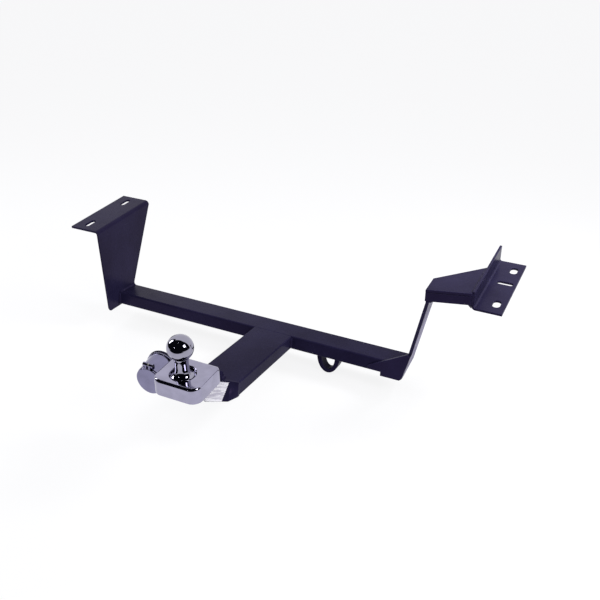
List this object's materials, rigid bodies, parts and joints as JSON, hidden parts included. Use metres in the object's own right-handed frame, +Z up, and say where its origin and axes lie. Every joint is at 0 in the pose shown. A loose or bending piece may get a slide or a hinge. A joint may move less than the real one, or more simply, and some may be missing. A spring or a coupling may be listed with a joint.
{
  "type": "trailer hitch",
  "caption": "Bolt-on trailer hitch: cross beam with slotted side brackets, tongue with chromed cover and coupling ball, round electrical socket with sprung lid, and safety chain loop.",
  "frame": {"origin": "centre of the coupling ball", "axes": "+X along the cross beam to the right as seen from behind the vehicle, +Y towards the vehicle, +Z up along the ball's neck"},
  "size_m": [0.9958, 0.5907, 0.2927],
  "materials": {
    "painted_steel": "satin",
    "chrome_plate": "polished",
    "zinc_steel": "satin",
    "black_plastic": "matte",
    "black_rubber": "matte",
    "contact_brass": "satin",
    "label_film": "satin"
  },
  "bodies": {
    "hitch": {"cross_beam": "painted_steel", "tongue": "painted_steel", "tongue_nose": "painted_steel", "left_bracket": "painted_steel", "right_flange_bracket": "painted_steel", "right_bar": "painted_steel", "right_top_plate": "painted_steel", "right_arm": "painted_steel", "right_gusset": "painted_steel", "safety_chain_loop": "painted_steel", "riser": "painted_steel", "ball_plate": "painted_steel", "tongue_weld": "painted_steel", "left_web_weld": "painted_steel", "riser_weld": "painted_steel", "identification_label": "label_film", "tow_ball": "chrome_plate", "chrome_cover": "chrome_plate", "flat_washer": "zinc_steel", "spring_washer": "zinc_steel", "ball_nut": "zinc_steel", "socket_housing": "chrome_plate", "lid_hinge_pin": "zinc_steel", "lid_spring": "zinc_steel", "socket_insert": "black_plastic", "contact_pins": "contact_brass", "terminal_screws": "zinc_steel", "socket_gasket": "black_rubber", "cable_gland": "black_rubber", "socket_bracket": "painted_steel", "socket_screws": "zinc_steel", "bracket_screws": "zinc_steel"},
    "lid": {"socket_lid": "chrome_plate", "lid_seal": "black_rubber"}
  },
  "joints": [
    {"name": "socket_lid_hinge", "type": "hinge", "parent": "hitch", "child": "lid", "pos_m": [-0.0849, 0.0105, -0.0699], "axis": [-1, 0, 0], "range_deg": [0, 110], "stiffness_Nm_per_rad": 0.03, "springref_deg": -45.84}
  ]
}
